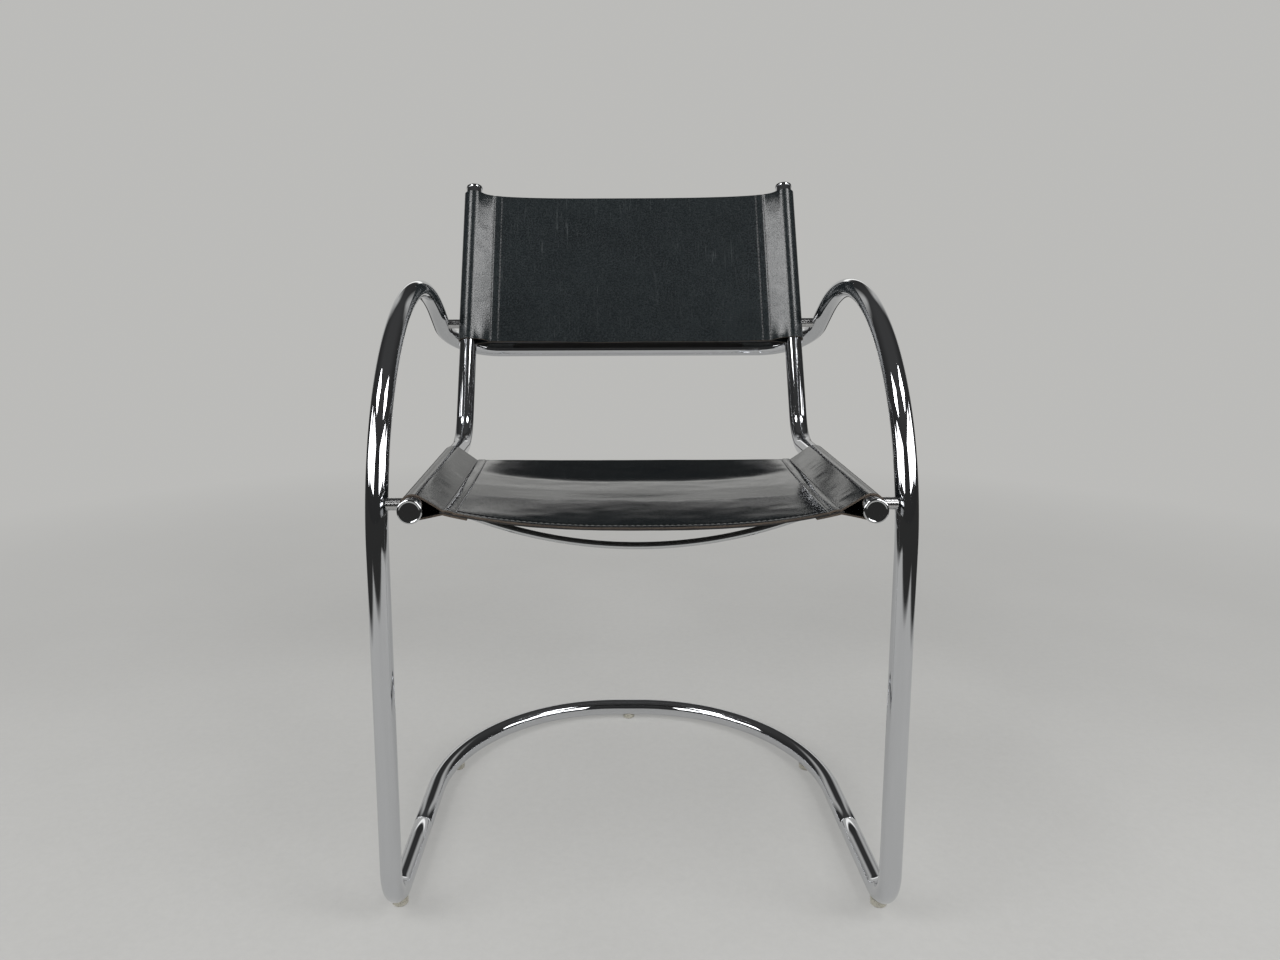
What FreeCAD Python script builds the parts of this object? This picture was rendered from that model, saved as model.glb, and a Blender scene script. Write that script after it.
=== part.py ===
import FreeCAD
import Part
import math
import os

os.makedirs("parts", exist_ok=True)
V = FreeCAD.Vector

# Tube stock, shared by every chromed tube
tube_d = 22.0
tube_wall = 2.0

# Glides under the base
glide_lift = 4.0
glide_d = 17.0
glide_edge = 1.2
glide_wrap = 3.5
glide_seat_clear = 0.03
glide_pin_d = 4.0
glide_pin_top = 6.5
glide_pin_clear = 0.1
glide_front_y = 33.0
glide_rear_deg = 21.4

# Outer frame, measured from the foot corner of a leg
foot_bend_r = 44.0
arm_start_h = 395.0
arm_bend_r = 244.5
arm_drop_deg = 29.5
arm_tail = 42.7
rear_bend_r = 72.5
base_toe_in = 8.1
base_depth = 455.5
base_rear_flat = 17.0
runner_joint_y = 150.0
joint_gap = 0.15
ferrule_len = 60.0
ferrule_wall = 1.5
ferrule_clear = 0.08

# Inner frames that carry the seat and the back
half_rail = 216.0
rail_z = 440.7
rail_front_y = -25.7
seat_back_bend_r = 55.0
recline_deg = 25.6
upright_joint = 35.75
upright_above_joint = 206.0

# End caps of the inner frames
cap_flange_d = 23.8
cap_flange_t = 3.5
cap_edge_r = 1.2
cap_plug_len = 16.0
cap_plug_clear = 0.08

# Spacers with their screws and threaded inserts
spacer_d = 12.0
spacer_gap = 15.0
spacer_bore_d = 6.4
saddle_clear = 0.02
screw_d = 6.0
screw_head_d = 10.0
screw_head_h = 6.0
screw_head_seat = 7.3
screw_hex = 5.0
screw_hex_depth = 3.0
screw_hole_clear = 0.1
access_hole_d = 11.0
insert_d = 9.0
insert_len = 11.5
insert_clear = 0.05
thread_clear = 0.04
screw_tip_inset = 1.0

# Bowed brace under the seat
brace_d = 8.0
brace_y = 100.0
brace_entry_drop = 9.64
brace_bow_r = 490.0
brace_turn_r = 16.0
brace_inside = 4.5
brace_hole_clear = 0.1

# Leather slings
leather_t = 1.8
lining_t = 1.2
sag_power = 2.7
leather_clear = 0.3
seam_in = 28.0
seam_out = 39.0
seat_front_y = -9.0
seat_crease_y = 66.0
seat_fold_soft = 14.0
seat_rear_y = 238.0
seat_panel_z = 435.6
seat_front_rise = 1.9
seat_front_sag = 17.2
seat_front_power = 1.5
seat_crest_y = 79.0
seat_crest_sag = 9.9
seat_hollow_run = 50.0
seat_hollow_sag = 13.3
seat_hollow_rear_y = 170.0
seat_rear_sag = 0.8
seat_rear_power = 1.25
seat_flap_in = 51.0
lining_in = 25.0
back_low_s = -24.5
back_high_s = 194.0
back_panel_n = -1.0
back_sag = 5.0
back_flap_in = 47.0
back_dip = 3.4
back_dip_power = 6.0
trim_reach = 40.0
hole_in_leather_clear = 0.5

# Stitching
thread_d = 0.8
thread_gap = 0.3
hem_inset = 6.0
thread_end = 2.0


tube_r = tube_d / 2.0
bore_r = tube_r - tube_wall
base_z = glide_lift + tube_r
half_leg = half_rail + tube_d + spacer_gap
base_half_rear = half_leg - base_toe_in
base_turn = math.pi / 2.0 - math.atan(base_toe_in / base_depth)
base_bend_r = (base_half_rear - base_rear_flat) / math.tan(base_turn / 2.0)
drop = math.radians(arm_drop_deg)
arm_tangent = arm_bend_r * math.tan((math.pi / 2.0 + drop) / 2.0)
arm_peak_z = arm_start_h + arm_tangent
arm_reach = arm_tangent + arm_tail + rear_bend_r
bar_y = arm_reach * math.cos(drop)
bar_z = arm_peak_z - arm_reach * math.sin(drop)
lean = math.radians(recline_deg)
up_dir = V(0.0, math.sin(lean), math.cos(lean))
up_out = V(0.0, -math.cos(lean), math.sin(lean))
arm_end_y = arm_bend_r * (1.0 + math.sin(drop))
arm_end_z = arm_start_h + arm_bend_r * math.cos(drop)
upright_y = arm_end_y + upright_joint * math.cos(drop)
upright_z = arm_end_z - upright_joint * math.sin(drop)
up_base = V(0.0, upright_y, upright_z)
rail_corner_y = upright_y - math.tan(lean) * (upright_z - rail_z)


def mirror(shape):
    return shape.mirror(V(0, 0, 0), V(1, 0, 0))


def rounded_path(points, radii):
    """One smooth wire of straight lines and tangent arcs through the given corners."""
    edges = []
    start = points[0]
    for i in range(1, len(points) - 1):
        corner = points[i]
        to_prev = (points[i - 1] - corner).normalize()
        to_next = (points[i + 1] - corner).normalize()
        half = to_prev.getAngle(to_next) / 2.0
        reach = radii[i - 1] / math.tan(half)
        first = corner + to_prev * reach
        last = corner + to_next * reach
        bisect = (to_prev + to_next).normalize()
        centre = corner + bisect * (radii[i - 1] / math.sin(half))
        middle = centre - bisect * radii[i - 1]
        if (first - start).Length > 0.001:
            edges.append(Part.makeLine(start, first))
        edges.append(Part.Arc(first, middle, last).toShape())
        start = last
    edges.append(Part.makeLine(start, points[-1]))
    return Part.Wire(edges)


def swept_rod(path, radius):
    first = path.Edges[0]
    origin = first.valueAt(first.FirstParameter)
    heading = first.tangentAt(first.FirstParameter)
    ring = Part.Wire([Part.makeCircle(radius, origin, heading)])
    return path.makePipeShell([ring], True, False)


def swept_tube(path):
    return swept_rod(path, tube_r).cut(swept_rod(path, bore_r))


def along(point, direction, distance):
    return point + direction * distance


def pin(radius, start, end):
    axis = end - start
    return Part.makeCylinder(radius, axis.Length, start, axis)


# Outer frame paths
foot = V(half_leg, 0, base_z)
runner_dir = (V(base_half_rear, base_depth, base_z) - foot).normalize()
joint = foot + runner_dir * (runner_joint_y / runner_dir.y)
joint_shift = runner_dir * (joint_gap / 2.0)


def flip(point):
    return V(-point.x, point.y, point.z)


arm_corners = [
    joint - joint_shift,
    foot,
    V(half_leg, 0, arm_peak_z),
    V(half_leg, bar_y, bar_z),
]
arm_points = arm_corners + [flip(p) for p in reversed(arm_corners)]
arm_radii = [foot_bend_r, arm_bend_r, rear_bend_r, rear_bend_r, arm_bend_r, foot_bend_r]
arm_path = rounded_path(arm_points, arm_radii)

base_corners = [joint + joint_shift, V(base_half_rear, base_depth, base_z)]
base_points = base_corners + [flip(p) for p in reversed(base_corners)]
base_path = rounded_path(base_points, [base_bend_r, base_bend_r])

arm_frame = swept_tube(arm_path)
base_bow = swept_tube(base_path)

# Ferrules inside the two runner joints
ferrule_r = bore_r - ferrule_clear
ferrule_a = along(joint, runner_dir, -ferrule_len / 2.0)
ferrule_b = along(joint, runner_dir, ferrule_len / 2.0)
ferrule = pin(ferrule_r, ferrule_a, ferrule_b).cut(pin(ferrule_r - ferrule_wall, ferrule_a, ferrule_b))

# Inner frames
rail_front = V(half_rail, rail_front_y + cap_flange_t, rail_z)
rail_corner = V(half_rail, rail_corner_y, rail_z)
upright_end = V(half_rail, 0, 0) + up_base + up_dir * (upright_above_joint - cap_flange_t)
inner_path = rounded_path([rail_front, rail_corner, upright_end], [seat_back_bend_r])
seat_back_tube = swept_tube(inner_path)


def end_cap(seat, outward):
    """Round plug with a thin flange that covers the tube end."""
    flange = Part.makeCylinder(cap_flange_d / 2.0, cap_flange_t, seat, outward)
    rims = [e for e in flange.Edges if len(e.Vertexes) == 1 and hasattr(e.Curve, "Radius")]
    flange = flange.makeFillet(cap_edge_r, rims)
    inward = outward * -1.0
    plug = Part.makeCylinder(bore_r - cap_plug_clear, cap_plug_len, seat - inward * 0.5, inward)
    return flange.fuse(plug).removeSplitter()


front_cap = end_cap(rail_front, V(0, -1, 0))
top_cap = end_cap(upright_end, up_dir)


def arm_axis_at(z):
    """Point on the leg's bend at the given height."""
    turn = math.asin((z - arm_start_h) / arm_bend_r)
    return V(half_leg, arm_bend_r * (1.0 - math.cos(turn)), z)


def spacer_set(centre):
    """Spacer, screw and threaded insert on one line across from an inner tube to the outer frame."""

    def rod(r, x_from, x_to):
        return pin(r, V(x_from, centre.y, centre.z), V(x_to, centre.y, centre.z))

    x_in = half_rail + bore_r - 1.0
    x_out = half_leg - bore_r + 1.0
    body = rod(spacer_d / 2.0, x_in, x_out)
    body = body.cut(rod(spacer_bore_d / 2.0, x_in - 1, x_out + 1))
    head_x = half_rail + screw_head_seat
    head = rod(screw_head_d / 2.0, head_x - screw_head_h, head_x)
    insert_x = half_leg - tube_r
    tip_x = insert_x + insert_len - screw_tip_inset
    shank = rod(screw_d / 2.0, head_x - 0.5, tip_x)
    hexagon = []
    for k in range(7):
        turn = math.radians(60.0 * k)
        reach = screw_hex / 2.0 / math.cos(math.radians(30.0))
        corner = V(0, reach * math.cos(turn), reach * math.sin(turn))
        hexagon.append(V(head_x - screw_head_h, centre.y, centre.z) + corner)
    socket = Part.Face(Part.makePolygon(hexagon)).extrude(V(screw_hex_depth, 0, 0))
    screw = head.fuse(shank).removeSplitter().cut(socket)
    sleeve = rod(insert_d / 2.0, insert_x - 1.5, insert_x + insert_len)
    sleeve = sleeve.cut(rod(screw_d / 2.0 + thread_clear, insert_x - 3, tip_x))
    return body, screw, sleeve


front_centre = arm_axis_at(rail_z)
rear_centre = up_base
inner_solid = swept_rod(inner_path, tube_r + saddle_clear)
arm_solid = swept_rod(arm_path, tube_r + saddle_clear)
arm_outer = swept_rod(arm_path, tube_r)

spacers = []
screws = []
inserts = []
for centre in (front_centre, rear_centre):
    body, screw, sleeve = spacer_set(centre)
    body = body.cut(inner_solid).cut(arm_solid)
    body = sorted(body.Solids, key=lambda s: s.Volume)[-1]
    sleeve = sleeve.common(arm_outer)
    spacers.append(body)
    screws.append(screw)
    inserts.append(sleeve)
    shank_hole = pin(screw_d / 2.0 + screw_hole_clear, V(half_rail, centre.y, centre.z),
                     V(half_rail + tube_r + 3, centre.y, centre.z))
    access = pin(access_hole_d / 2.0, V(half_rail - tube_r - 3, centre.y, centre.z),
                 V(half_rail, centre.y, centre.z))
    seat_back_tube = seat_back_tube.cut(shank_hole).cut(access)
    insert_hole = pin(insert_d / 2.0 + insert_clear, V(half_leg - tube_r - 3, centre.y, centre.z),
                      V(half_leg, centre.y, centre.z))
    arm_frame = arm_frame.cut(insert_hole).cut(mirror(insert_hole))

# Brace, a wide bow whose ends turn up into holes in the rails
brace_turn = math.asin((half_rail - brace_turn_r) / (brace_bow_r - brace_turn_r))
brace_top_z = rail_z - brace_entry_drop
brace_low_z = brace_top_z - brace_bow_r + (brace_bow_r - brace_turn_r) * math.cos(brace_turn)


def bow_point(turn):
    return V(brace_bow_r * math.sin(turn), brace_y, brace_low_z + brace_bow_r * (1.0 - math.cos(turn)))


def brace_bend(side):
    """Start, middle and end of one upturned end."""
    turn = (brace_turn + math.pi / 2.0) / 2.0
    centre = V(half_rail - brace_turn_r, brace_y, brace_top_z)
    middle = centre + V(brace_turn_r * math.sin(turn), 0, -brace_turn_r * math.cos(turn))
    points = [bow_point(brace_turn), middle, centre + V(brace_turn_r, 0, 0)]
    return [V(side * p.x, p.y, p.z) for p in points]


def brace_wire(inside):
    left = brace_bend(-1.0)
    right = brace_bend(1.0)
    up = V(0, 0, inside)
    return Part.Wire([
        Part.makeLine(left[2] + up, left[2]),
        Part.Arc(left[2], left[1], left[0]).toShape(),
        Part.Arc(left[0], bow_point(0.0), right[0]).toShape(),
        Part.Arc(right[0], right[1], right[2]).toShape(),
        Part.makeLine(right[2], right[2] + up),
    ])


brace_path = brace_wire(brace_inside)
brace_rod = swept_rod(brace_path, brace_d / 2.0)
brace_hole = swept_rod(brace_wire(brace_inside + 1.0), brace_d / 2.0 + brace_hole_clear)
seat_back_tube = seat_back_tube.cut(brace_hole)


def glide(at):
    """Clear foot with a pin that plugs into the tube."""
    foot_disc = Part.makeCylinder(glide_d / 2.0, glide_lift + glide_wrap, V(at.x, at.y, 0))
    rim = [e for e in foot_disc.Edges if e.BoundBox.ZMax < 0.001 and len(e.Vertexes) == 1]
    foot_disc = foot_disc.makeChamfer(glide_edge, rim)
    return foot_disc


def base_axis_at(degrees):
    """Point of the rear bend at the given angle from the side."""
    turn = math.radians(degrees)
    centre_y = base_depth - base_bend_r
    return V(base_rear_flat + base_bend_r * math.cos(turn), centre_y + base_bend_r * math.sin(turn), base_z)


front_glide_at = foot + runner_dir * (glide_front_y / runner_dir.y)
glide_spots = {
    "glide_front_right": front_glide_at,
    "glide_front_left": flip(front_glide_at),
    "glide_rear_right": base_axis_at(glide_rear_deg),
    "glide_rear_left": flip(base_axis_at(glide_rear_deg)),
    "glide_rear_center": V(0, base_depth, base_z),
}
base_solid = swept_rod(base_path, tube_r + glide_seat_clear)
arm_seat_solid = swept_rod(arm_path, tube_r + glide_seat_clear)
glides = {}
for name, at in glide_spots.items():
    pad = glide(at).cut(base_solid).cut(arm_seat_solid)
    stem = pin(glide_pin_d / 2.0, V(at.x, at.y, 1.0), V(at.x, at.y, glide_lift + glide_pin_top))
    glides[name] = pad.fuse(stem).removeSplitter()
    pin_hole = pin(glide_pin_d / 2.0 + glide_pin_clear, V(at.x, at.y, 0), V(at.x, at.y, base_z))
    base_bow = base_bow.cut(pin_hole)
    arm_frame = arm_frame.cut(pin_hole)


def curve_edge(points):
    curve = Part.BSplineCurve()
    curve.interpolate(points)
    return curve.toShape()


def touch_turn(px, pw, centre_w, radius, sense):
    """Angle on a tube wrap where the line from the given point touches it."""
    dx = px - half_rail
    dw = pw - centre_w
    turn = math.atan2(dw, dx) - sense * math.acos(radius / math.hypot(dx, dw))
    while turn > math.pi:
        turn -= 2.0 * math.pi
    while turn < -math.pi:
        turn += 2.0 * math.pi
    return turn


wrap_r = tube_r + leather_clear + leather_t / 2.0
layer_step = leather_t + 2.0 * leather_clear + lining_t
seam_x = half_rail - seam_in


def panel_w(x, level, sag):
    """Middle of the upper sheet at a half width, level at the seam and sagging at the centre."""
    return level - sag * (1.0 - (abs(x) / seam_x) ** sag_power)


def panel_points(x_end, level, sag, lower):
    count = 5
    line = []
    for k in range(-count, count + 1):
        x = x_end * k / count
        line.append((x, panel_w(x, level, sag) - lower))
    return line


def wrap_side(level, centre_w, flap_x, flap_drop, face):
    """Right hand end of a sling outline on its outer or inner face, from the seam to the flap end."""
    half = face * leather_t / 2.0
    radius = wrap_r + half
    upper = touch_turn(seam_x, level + half, centre_w, radius, 1.0)
    under_w = level - layer_step - half
    lower = touch_turn(seam_x, under_w, centre_w, radius, -1.0)
    ring = []
    for turn in (upper, (upper + lower) / 2.0, lower):
        ring.append((half_rail + radius * math.cos(turn), centre_w + radius * math.sin(turn)))
    return [(seam_x, level + half), ring, (seam_x, under_w), (flap_x, under_w - flap_drop)]


def sling_wire(place, level, sag, centre_w, flap_in):
    """Closed outline of a sling: panel, both tube wraps and both flaps, as one bent sheet."""
    flap_x = half_rail - flap_in
    flap_drop = panel_w(seam_x, level, sag) - panel_w(flap_x, level, sag)
    edges = []
    chains = []
    for face in (1.0, -1.0):
        seam, ring, under, end = wrap_side(level, centre_w, flap_x, flap_drop, face)
        panel = [place(x, w) for x, w in panel_points(seam_x, level, sag, -face * leather_t / 2.0)]
        edges.append(curve_edge(panel))
        for side in (1.0, -1.0):
            spots = [place(side * p[0], p[1]) for p in (seam, ring[0], ring[1], ring[2], under, end)]
            edges.append(Part.makeLine(spots[0], spots[1]))
            edges.append(Part.Arc(spots[1], spots[2], spots[3]).toShape())
            edges.append(Part.makeLine(spots[3], spots[4]))
            edges.append(Part.makeLine(spots[4], spots[5]))
            chains.append(spots[5])
    edges.append(Part.makeLine(chains[0], chains[2]))
    edges.append(Part.makeLine(chains[1], chains[3]))
    return Part.Wire(Part.__sortEdges__(edges))


def lining_wire(place, level, sag):
    edge = half_rail - lining_in
    top = leather_t / 2.0 + leather_clear
    upper = [place(x, w) for x, w in panel_points(edge, level, sag, top)]
    lower = [place(x, w) for x, w in panel_points(edge, level, sag, top + lining_t)]
    sides = [Part.makeLine(upper[-1], lower[-1]), Part.makeLine(lower[0], upper[0])]
    return Part.Wire([curve_edge(upper), sides[0], curve_edge(lower), sides[1]])


def fold_reach(ahead):
    """Rounded start of the droop in front of the crease."""
    return (ahead + math.sqrt(ahead ** 2 + seat_fold_soft ** 2)) / 2.0


def hollow_depth(y):
    """Depth of the seat's middle line: front droop, low crest at the crease, sat-in hollow, rising rear."""
    if y <= seat_crest_y:
        part = (seat_crest_y - y) / (seat_crest_y - seat_front_y)
        fall = seat_front_sag - seat_front_rise - seat_crest_sag
        return seat_crest_sag + fall * part ** seat_front_power
    part = min((y - seat_crest_y) / seat_hollow_run, 1.0)
    depth = seat_crest_sag + (seat_hollow_sag - seat_crest_sag) * part * part * (3.0 - 2.0 * part)
    if y <= seat_hollow_rear_y:
        return depth
    part = (y - seat_hollow_rear_y) / (seat_rear_y - seat_hollow_rear_y)
    return depth - (seat_hollow_sag - seat_rear_sag) * part ** seat_rear_power


def seat_station(y):
    """Seam level and centre sag of the seat along its depth."""
    fold = max(fold_reach(seat_crease_y - y) - fold_reach(0.0), 0.0)
    ease = fold / (fold_reach(seat_crease_y - seat_front_y) - fold_reach(0.0))
    rise = seat_front_rise * ease
    return seat_panel_z + rise, hollow_depth(y) + rise


def seat_place(y):
    return lambda x, w: V(x, y, w)


def back_place(s):
    """The back's section plane is square to the uprights. Its w axis points forward."""
    here = along(up_base, up_dir, s)
    return lambda x, w: here + V(x, 0, 0) + up_out * w


seat_stations = []
for k in range(5):
    seat_stations.append(seat_front_y + (seat_crest_y - seat_front_y) * k / 4.0)
seat_stations += [seat_crest_y + seat_hollow_run / 2.0, seat_crest_y + seat_hollow_run]
for k in range(4):
    seat_stations.append(seat_hollow_rear_y + (seat_rear_y - seat_hollow_rear_y) * k / 3.0)
seat_wires = []
lining_wires = []
for y in seat_stations:
    level, sag = seat_station(y)
    seat_wires.append(sling_wire(seat_place(y), level, sag, rail_z, seat_flap_in))
    lining_wires.append(lining_wire(seat_place(y), level, sag))
seat_leather = Part.makeLoft(seat_wires, True, False)
seat_lining = Part.makeLoft(lining_wires, True, False)

back_run = up_dir * (back_high_s - back_low_s)
back_start = sling_wire(back_place(back_low_s), back_panel_n, back_sag, 0.0, back_flap_in)
back_leather = Part.Face(back_start).extrude(back_run)
back_lining = Part.Face(lining_wire(back_place(back_low_s), back_panel_n, back_sag)).extrude(back_run)


def dip_at(x):
    """How far the back's top edge lies below its ends at a half width."""
    ratio = min(abs(x) / (half_rail - tube_r), 1.0)
    return back_dip * (1.0 - ratio ** back_dip_power)


# Hollowed top edge of the back
rim_line = []
count = 6
rim_reach = half_rail - tube_r
for k in range(-count, count + 1):
    x = rim_reach * k / count
    rim_line.append(along(up_base, up_dir, back_high_s - dip_at(x)) + V(x, 0, 0) + up_out * trim_reach)
above_a = rim_line[0] + up_dir * trim_reach
above_b = rim_line[-1] + up_dir * trim_reach
cutter_wire = Part.Wire([curve_edge(rim_line), Part.makeLine(rim_line[-1], above_b),
                         Part.makeLine(above_b, above_a), Part.makeLine(above_a, rim_line[0])])
cutter = Part.Face(cutter_wire).extrude(up_out * (-2.0 * trim_reach))
back_leather = back_leather.cut(cutter)
back_lining = back_lining.cut(cutter)

# Holes through the leather for the spacers and the brace
seat_hole_r = spacer_d / 2.0 + hole_in_leather_clear
for side in (1.0, -1.0):
    holes = []
    for centre in (front_centre, rear_centre):
        holes.append(pin(seat_hole_r, V(side * (half_rail + 2.0), centre.y, centre.z),
                         V(side * (half_rail + tube_r + 6.0), centre.y, centre.z)))
    seat_leather = seat_leather.cut(holes[0])
    back_leather = back_leather.cut(holes[1])
brace_slot = swept_rod(brace_path, brace_d / 2.0 + hole_in_leather_clear)
seat_leather = seat_leather.cut(brace_slot)


def thread(points, across):
    """A thin square strand through the points. across is a direction square to its run."""
    half = thread_d / 2.0
    up = V(0, 0, 1)
    rings = []
    for point in points:
        corners = []
        for a, b in ((1, 1), (-1, 1), (-1, -1), (1, -1), (1, 1)):
            corners.append(point + across * (half * a) + up * (half * b))
        rings.append(Part.makePolygon(corners))
    return Part.makeLoft(rings, True, True)


lift = leather_t / 2.0 + thread_gap + thread_d / 2.0


def seat_seam(x):
    points = []
    count = 16
    for k in range(count + 1):
        y = seat_front_y + thread_end + (seat_rear_y - seat_front_y - 2.0 * thread_end) * k / count
        level, sag = seat_station(y)
        points.append(V(x, y, panel_w(abs(x), level, sag) + lift))
    return thread(points, V(1, 0, 0))


def seat_hem(y):
    points = []
    level, sag = seat_station(y)
    reach = half_rail - seam_out - 2.0
    count = 16
    for k in range(-count, count + 1):
        x = reach * k / count
        points.append(V(x, y, panel_w(abs(x), level, sag) + lift))
    return thread(points, V(0, 1, 0))


def back_seam(x):
    low = along(up_base, up_dir, back_low_s + thread_end)
    high = along(up_base, up_dir, back_high_s - dip_at(x) - thread_end)
    side = V(x, 0, 0) + up_out * (panel_w(abs(x), back_panel_n, back_sag) + lift)
    return pin(thread_d / 2.0, low + side, high + side)


inset = 0.9
seat_rows = []
back_rows = []
for side in (1.0, -1.0):
    seat_rows.append(seat_seam(side * (seam_x - inset)))
    seat_rows.append(seat_seam(side * (half_rail - seam_out)))
    back_rows.append(back_seam(side * (seam_x - inset)))
    back_rows.append(back_seam(side * (half_rail - seam_out)))
seat_rows.append(seat_hem(seat_front_y + hem_inset))

# One entry per node
nodes = {
    "base_bow": base_bow,
    "arm_frame": arm_frame,
    "runner_ferrules": Part.makeCompound([ferrule, mirror(ferrule)]),
    "seat_back_tube_right": seat_back_tube,
    "seat_back_tube_left": mirror(seat_back_tube),
    "front_cap_right": front_cap,
    "front_cap_left": mirror(front_cap),
    "top_cap_right": top_cap,
    "top_cap_left": mirror(top_cap),
    "spacer_front_right": spacers[0],
    "spacer_front_left": mirror(spacers[0]),
    "spacer_rear_right": spacers[1],
    "spacer_rear_left": mirror(spacers[1]),
    "frame_screws": Part.makeCompound(screws + [mirror(s) for s in screws]),
    "thread_inserts": Part.makeCompound(inserts + [mirror(s) for s in inserts]),
    "brace_rod": brace_rod,
    "seat_leather": seat_leather,
    "seat_lining": seat_lining,
    "seat_stitching": Part.makeCompound(seat_rows),
    "back_leather": back_leather,
    "back_lining": back_lining,
    "back_stitching": Part.makeCompound(back_rows),
}
nodes.update(glides)

# Centre the chair's depth on the origin, then write every node
front_box = nodes["front_cap_right"].optimalBoundingBox(False, False)
top_box = nodes["top_cap_right"].optimalBoundingBox(False, False)
arm_box = nodes["arm_frame"].optimalBoundingBox(False, False)
shift = V(0, -(front_box.YMin + max(top_box.YMax, arm_box.YMax)) / 2.0, 0)
for name in sorted(nodes):
    shape = nodes[name].copy()
    shape.translate(shift)
    shape.exportStep("parts/" + name + ".step")
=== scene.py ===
import math
import bpy
import bmesh
from mathutils import Matrix, Vector, noise


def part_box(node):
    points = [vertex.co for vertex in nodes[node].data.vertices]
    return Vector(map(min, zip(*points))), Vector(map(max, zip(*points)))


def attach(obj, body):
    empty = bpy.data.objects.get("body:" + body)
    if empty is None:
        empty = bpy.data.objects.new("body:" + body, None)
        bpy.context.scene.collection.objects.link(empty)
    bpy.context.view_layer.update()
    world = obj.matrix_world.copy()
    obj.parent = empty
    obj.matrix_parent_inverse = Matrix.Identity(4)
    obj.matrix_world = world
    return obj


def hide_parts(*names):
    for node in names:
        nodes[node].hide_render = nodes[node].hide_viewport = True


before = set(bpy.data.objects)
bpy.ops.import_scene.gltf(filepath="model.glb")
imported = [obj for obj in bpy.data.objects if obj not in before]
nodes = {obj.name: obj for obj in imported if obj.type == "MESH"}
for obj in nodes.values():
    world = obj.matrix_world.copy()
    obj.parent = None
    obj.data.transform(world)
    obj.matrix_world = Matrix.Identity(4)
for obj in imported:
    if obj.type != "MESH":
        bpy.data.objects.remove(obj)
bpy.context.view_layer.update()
scene = bpy.context.scene

# Sizes in millimetres, as in the CAD, with y from the leg axis. First the tubes and their caps
TUBE_R = 11.0
BORE_R = 9.0
BASE_Z = 15.0
HALF_LEG = 253.0
FOOT_R = 44.0
ARM_START = 395.0
ARM_R = 244.5
DROP = math.radians(29.5)
ARM_TAIL = 42.7
REAR_R = 72.5
BASE_HALF = 244.9
BASE_DEPTH = 455.5
BASE_R = 232.0
JOINT_Y = 150.0
HALF_RAIL = 216.0
RAIL_Z = 440.7
RAIL_FRONT = -25.7
SEAT_BACK_R = 55.0
LEAN = math.radians(25.6)
UP_Y = 396.0
UP_Z = 590.2
TOP_Z = 776.0
CAP_T = 3.5
CAP_R = 11.9

# The bowed rod under the seat
BRACE_Y = 100.0
BRACE_LOW = 370.8
BRACE_R = 490.0
BRACE_TURN = 16.0
BRACE_ROD_R = 4.0

# The leather: places of the seams, the loop's middle radius, thicknesses and flaps, then the linings
SEAM_1 = 188.0
SEAM_2 = 177.0
SAG_POWER = 2.7
WRAP_R = 12.2
LAYER = 3.6
T = 1.8
SEAT_FLAP = 51.0
BACK_FLAP = 47.0
LINING_T = 1.2
LINING_GAP = 0.3
LINING_END = 25.0

# The stitching
ROW_1 = SEAM_1 - 0.9
ROW_2 = SEAM_2
HEM_IN = 6.0
ROW_IN = 2.5
THREAD_R = 0.42
STITCH = 3.9
PITCH = 5.2
HEM_STITCH = 3.6
HEM_PITCH = 5.4

# Points of a loop's outline: out to the tube, round it, back to the seam and along the flap
OUT_N = 16
ROUND_N = 34
RETURN_N = 10
FLAP_N = 8
Y_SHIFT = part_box("front_cap_right")[0].y * 1000.0 - RAIL_FRONT


def mm(p):
    return Vector((p[0] * 0.001, (p[1] + Y_SHIFT) * 0.001, p[2] * 0.001))


# ---------------------------------------------------------------- materials
def new_material(name):
    m = bpy.data.materials.new(name)
    m.use_nodes = True
    m.node_tree.nodes.clear()
    out = m.node_tree.nodes.new("ShaderNodeOutputMaterial")
    return m, m.node_tree, out


def ramp(tree, fac, stops):
    r = tree.nodes.new("ShaderNodeValToRGB")
    r.color_ramp.elements[0].position = stops[0][0]
    r.color_ramp.elements[0].color = stops[0][1]
    r.color_ramp.elements[1].position = stops[-1][0]
    r.color_ramp.elements[1].color = stops[-1][1]
    for pos, col in stops[1:-1]:
        e = r.color_ramp.elements.new(pos)
        e.color = col
    tree.links.new(fac, r.inputs["Fac"])
    return r.outputs["Color"]


def grey(v):
    return (v, v, v, 1.0)


RUBBED = (0.060, 0.066, 0.068)


def coords(tree, scale=(1, 1, 1)):
    tc = tree.nodes.new("ShaderNodeTexCoord")
    mp = tree.nodes.new("ShaderNodeMapping")
    mp.inputs["Scale"].default_value = scale
    tree.links.new(tc.outputs["Object"], mp.inputs["Vector"])
    return mp.outputs["Vector"]


def mix_colour(tree, fac, a, b):
    """Colour a where fac is 0 and b where it is 1. A tuple is a constant, anything else is linked."""
    n = tree.nodes.new("ShaderNodeMix")
    n.data_type = "RGBA"
    for socket, value in ((0, fac), (6, a), (7, b)):
        if isinstance(value, tuple):
            n.inputs[socket].default_value = (*value, 1.0)
        else:
            tree.links.new(value, n.inputs[socket])
    return n.outputs[2]


def noise_tex(tree, vector, scale, detail=3.0, rough=0.55, distort=0.0):
    n = tree.nodes.new("ShaderNodeTexNoise")
    n.inputs["Scale"].default_value = scale
    n.inputs["Detail"].default_value = detail
    n.inputs["Roughness"].default_value = rough
    n.inputs["Distortion"].default_value = distort
    tree.links.new(vector, n.inputs["Vector"])
    return n.outputs["Fac"]


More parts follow.
